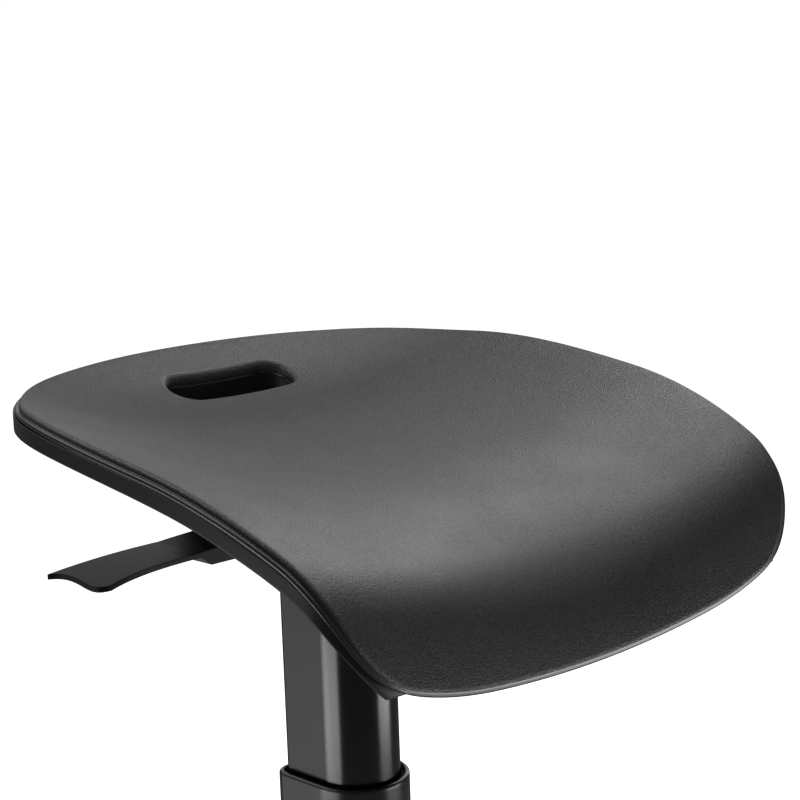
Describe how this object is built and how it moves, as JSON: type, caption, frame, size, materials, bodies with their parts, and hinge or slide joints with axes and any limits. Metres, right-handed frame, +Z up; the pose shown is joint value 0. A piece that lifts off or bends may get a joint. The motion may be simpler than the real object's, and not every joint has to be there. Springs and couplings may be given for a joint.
{
  "type": "sit-stand perching stool",
  "caption": "Height-adjustable perching stool: contoured waterfall seat with a hand slot on a D-section telescopic column with a release lever and a weighted round base.",
  "frame": {"origin": "on the floor, at the column's axis", "axes": "+Z up along the column, sitter faces -Y, release lever on -X"},
  "size_m": [0.4059, 0.4081, 0.752],
  "materials": {
    "pad_foam": "integral-skin polyurethane foam with a fine moulded grain",
    "pan_plastic": "injection-moulded black polypropylene, fine texture",
    "insert_brass": "turned brass",
    "screw_steel": "zinc-plated steel",
    "plate_steel": "black powder-coated pressed steel",
    "head_aluminium": "die-cast aluminium, as cast",
    "tube_steel": "black semi-gloss powder coat on drawn steel tube",
    "glide_plastic": "black acetal",
    "cylinder_steel": "black painted pressure tube",
    "rod_steel": "ground and hard-chromed steel",
    "lever_plastic": "black glass-filled nylon, satin",
    "flange_iron": "black painted grey iron",
    "cover_steel": "black semi-gloss powder coat on spun steel",
    "ring_rubber": "black moulded rubber"
  },
  "bodies": {
    "base": {"outer_sleeve": "tube_steel", "upper_guide": "glide_plastic", "piston_rod": "rod_steel", "gas_piston": "glide_plastic", "rod_anchor": "plate_steel", "rod_nut": "screw_steel", "column_flange": "flange_iron", "flange_bolts": "screw_steel", "column_trim": "lever_plastic", "base_cover": "cover_steel", "base_weight": "flange_iron", "floor_ring": "ring_rubber"},
    "seat": {"seat_pad": "pad_foam", "seat_pan": "pan_plastic", "slot_liner": "pan_plastic", "pan_inserts": "insert_brass", "pan_bolts": "screw_steel", "seat_plate": "plate_steel", "head_bolts": "screw_steel", "column_head": "head_aluminium", "inner_tube": "tube_steel", "lower_glide": "glide_plastic", "gas_cylinder": "cylinder_steel", "cylinder_nut": "screw_steel", "rod_guide": "glide_plastic", "lever_pin": "rod_steel", "lever_spacers": "glide_plastic"},
    "lever": {"lever_bar": "plate_steel", "lever_paddle": "lever_plastic", "lever_rivets": "rod_steel"},
    "valve": {"valve_button": "rod_steel"}
  },
  "joints": [
    {"name": "height_slide", "type": "slide", "parent": "base", "child": "seat", "axis": [0, 0, 1], "range_m": [-0.14, 0.06]},
    {"name": "lever_pivot", "type": "hinge", "parent": "seat", "child": "lever", "pos_m": [-0.038, 0, 0.661], "axis": [0, 1, 0], "range_deg": [0, 7], "stiffness_Nm_per_rad": 4},
    {"name": "valve_press", "type": "slide", "parent": "seat", "child": "valve", "axis": [0, 0, -1], "range_m": [0, 0.0047]}
  ],
  "couplings": [
    {"joint": "valve_press", "follows": "lever_pivot", "m_per_rad": 0.038}
  ]
}
